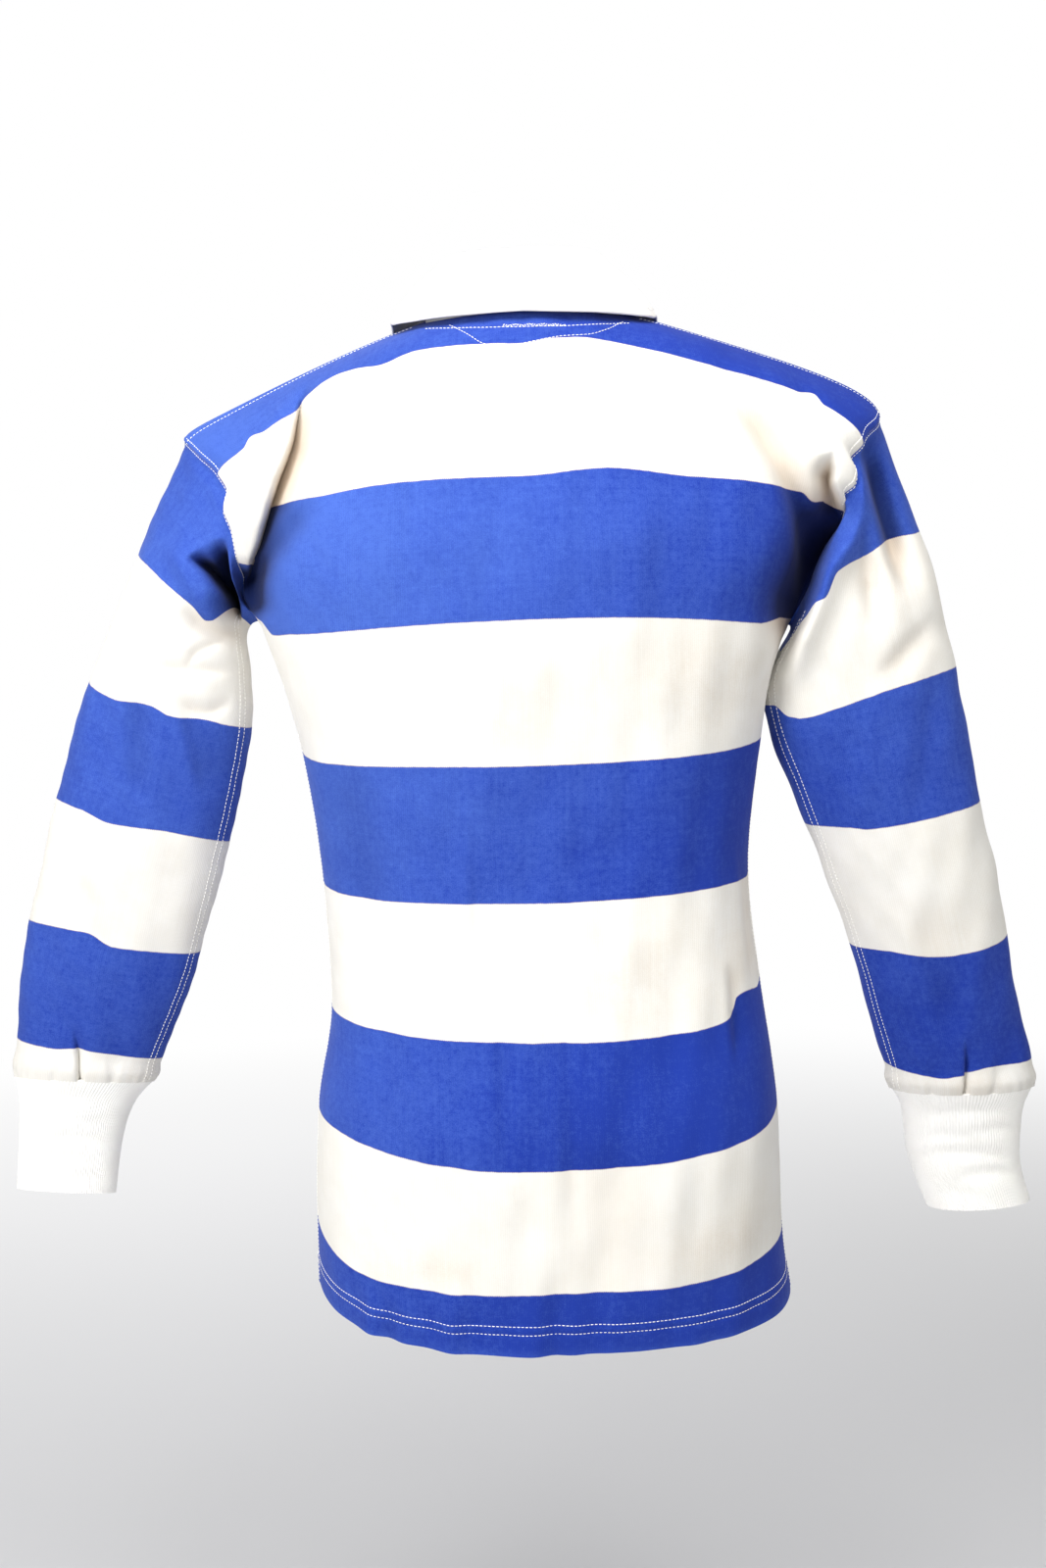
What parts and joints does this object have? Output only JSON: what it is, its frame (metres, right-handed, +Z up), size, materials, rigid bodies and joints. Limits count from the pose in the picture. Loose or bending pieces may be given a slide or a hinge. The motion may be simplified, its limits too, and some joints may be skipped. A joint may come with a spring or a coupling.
{
  "type": "rugby shirt",
  "caption": "Long-sleeved hooped rugby shirt with a turned-down collar, a short buttoned placket and ribbed cuffs, hollow as when it is worn.",
  "frame": {"origin": "middle of the neck opening, level with the inner ends of the shoulder seams, where the wearer holds the shirt up", "axes": "+Z up the body, the front faces -Y, the wearer's left is +X"},
  "size_m": [0.8653, 0.25, 0.8224],
  "materials": {
    "jersey_blue": "heavy cotton jersey, matt, blue hoops on cream",
    "twill_white": "cotton twill, matt",
    "rib_white": "rib knit, matt",
    "button_rubber": "satin"
  },
  "bodies": {
    "root": {"back": "jersey_blue", "front": "jersey_blue", "sleeve_left": "jersey_blue", "sleeve_right": "jersey_blue", "cuff_left": "rib_white", "cuff_right": "rib_white", "collar": "twill_white", "placket": "twill_white", "button_1": "button_rubber", "button_2": "button_rubber", "button_3": "button_rubber"}
  },
  "joints": []
}
